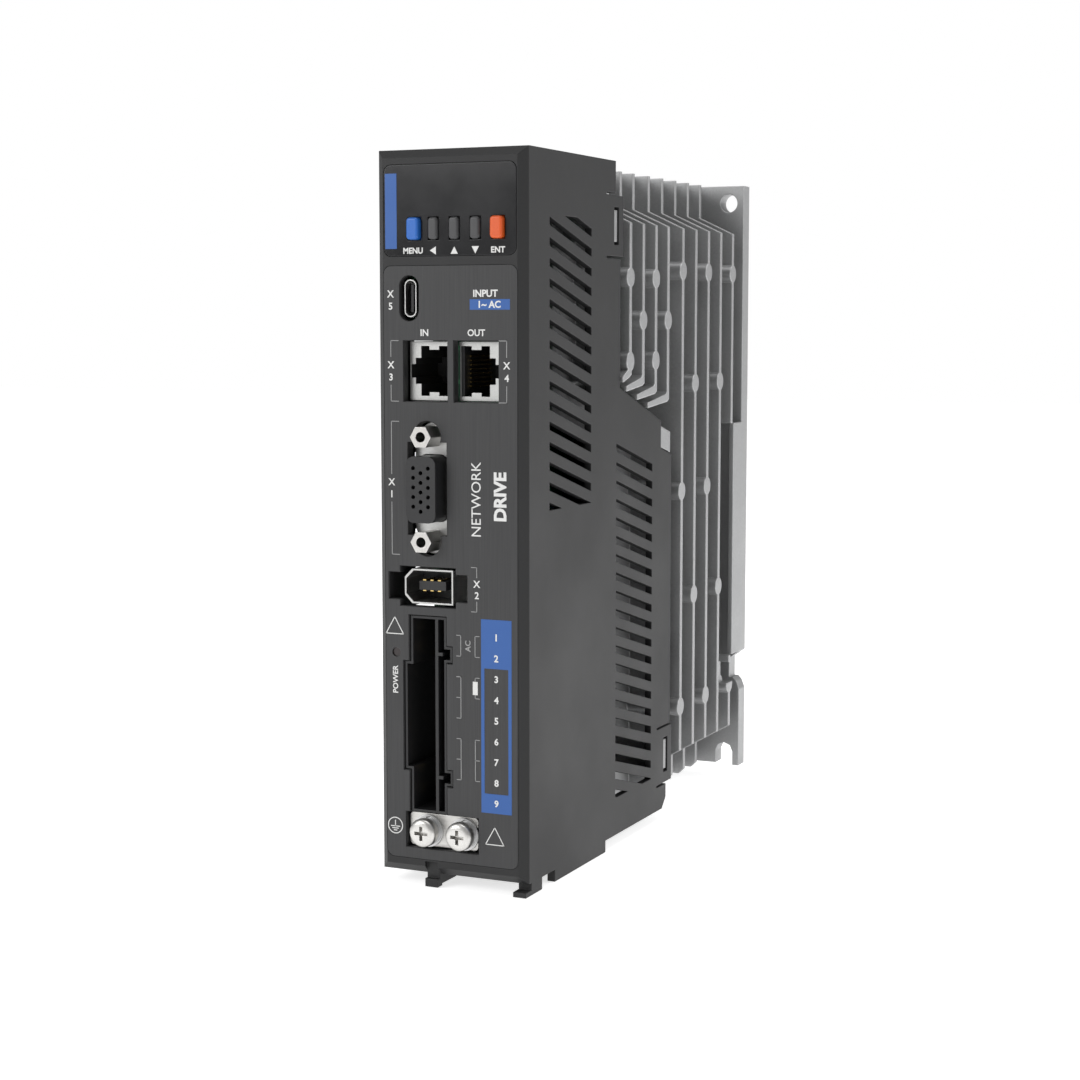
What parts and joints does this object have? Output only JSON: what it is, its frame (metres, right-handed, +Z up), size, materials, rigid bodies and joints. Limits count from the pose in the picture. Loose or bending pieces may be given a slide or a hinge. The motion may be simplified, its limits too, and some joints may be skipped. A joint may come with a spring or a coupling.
{
  "type": "servo drive",
  "caption": "Slim panel-mounted servo drive with a display and keypad, front connectors, earth screws and a finned die-cast side and back.",
  "frame": {"origin": "centre of the rear mounting face: on the panel plane, at the middle of the housing's width and height", "axes": "+Z up as hung on the panel, +Y out of the mounting face into the panel, +X to the right seen from the front; the connectors face -Y"},
  "size_m": [0.04, 0.1594, 0.177],
  "materials": {
    "housing": "fine spark-eroded texture",
    "casting": "die-cast, bead blasted",
    "window": "smoked, polished",
    "film": "brushed-look printed film",
    "key_blue": "satin",
    "key_grey": "satin",
    "key_orange": "satin",
    "plunger": "moulded",
    "switch": "moulded",
    "board": "solder mask",
    "display": "matt face",
    "steel": "tin plated",
    "posts": "nickel plated",
    "insulator": "moulded",
    "contact": "gold flashed",
    "plate": "nickel plated",
    "screw": "nickel plated",
    "washer": "zinc plated",
    "can": "shrink sleeve",
    "module": "moulded epoxy",
    "pad": "silicone",
    "relay": "moulded",
    "winding": "varnished tape",
    "ceramic": "fired cement",
    "insulation": "polyester film",
    "light": "clear moulded",
    "standoff": "nickel plated"
  },
  "bodies": {
    "chassis": {"housing": "housing", "heatsink": "casting", "display_window": "window", "label_film": "film", "tact_switches": "switch", "display_board": "board", "control_board": "board", "power_board": "board", "digit_display": "display", "usb_shell": "steel", "jack_in_shield": "steel", "jack_out_shield": "steel", "io_shell": "steel", "encoder_shell": "steel", "io_posts": "posts", "usb_tongue": "insulator", "jack_in_body": "insulator", "jack_out_body": "insulator", "io_insert": "insulator", "encoder_insert": "insulator", "power_header": "insulator", "board_link": "insulator", "jack_contacts": "contact", "io_contacts": "contact", "encoder_contacts": "contact", "power_pins": "contact", "earth_plate": "plate", "board_screws": "screw", "bus_capacitors": "can", "power_module": "module", "bridge_rectifier": "module", "control_chips": "module", "thermal_pad": "pad", "inrush_relay": "relay", "supply_transformer": "winding", "filter_choke": "winding", "brake_resistor": "ceramic", "insulating_film": "insulation", "charge_light_pipe": "light", "charge_lamp": "light", "board_standoffs": "standoff"},
    "menu_key": {"key_menu": "key_blue", "plunger_menu": "plunger"},
    "left_key": {"key_left": "key_grey", "plunger_left": "plunger"},
    "up_key": {"key_up": "key_grey", "plunger_up": "plunger"},
    "down_key": {"key_down": "key_grey", "plunger_down": "plunger"},
    "enter_key": {"key_enter": "key_orange", "plunger_enter": "plunger"},
    "left_washers": {"earth_washers_left": "washer"},
    "left_screw": {"earth_screw_left": "screw"},
    "right_washers": {"earth_washers_right": "washer"},
    "right_screw": {"earth_screw_right": "screw"}
  },
  "joints": [
    {"name": "menu_key_press", "type": "slide", "parent": "chassis", "child": "menu_key", "axis": [0, 1, 0], "range_m": [0, 0.0005], "stiffness_N_per_m": 3000, "springref_m": -0.0004},
    {"name": "left_key_press", "type": "slide", "parent": "chassis", "child": "left_key", "axis": [0, 1, 0], "range_m": [0, 0.0005], "stiffness_N_per_m": 3000, "springref_m": -0.0004},
    {"name": "up_key_press", "type": "slide", "parent": "chassis", "child": "up_key", "axis": [0, 1, 0], "range_m": [0, 0.0005], "stiffness_N_per_m": 3000, "springref_m": -0.0004},
    {"name": "down_key_press", "type": "slide", "parent": "chassis", "child": "down_key", "axis": [0, 1, 0], "range_m": [0, 0.0005], "stiffness_N_per_m": 3000, "springref_m": -0.0004},
    {"name": "enter_key_press", "type": "slide", "parent": "chassis", "child": "enter_key", "axis": [0, 1, 0], "range_m": [0, 0.0005], "stiffness_N_per_m": 3000, "springref_m": -0.0004},
    {"name": "left_screw_travel", "type": "slide", "parent": "chassis", "child": "left_washers", "axis": [0, -1, 0], "range_m": [0, 0.003]},
    {"name": "left_screw_turn", "type": "hinge", "parent": "left_washers", "child": "left_screw", "pos_m": [-0.007, -0.156, -0.0764], "axis": [0, -1, 0], "range_deg": [0, 1542]},
    {"name": "right_screw_travel", "type": "slide", "parent": "chassis", "child": "right_washers", "axis": [0, -1, 0], "range_m": [0, 0.003]},
    {"name": "right_screw_turn", "type": "hinge", "parent": "right_washers", "child": "right_screw", "pos_m": [0.0027, -0.156, -0.0764], "axis": [0, -1, 0], "range_deg": [0, 1542]}
  ],
  "couplings": [
    {"joint": "left_screw_turn", "follows": "left_screw_travel", "rad_per_m": 8976},
    {"joint": "right_screw_turn", "follows": "right_screw_travel", "rad_per_m": 8976}
  ]
}
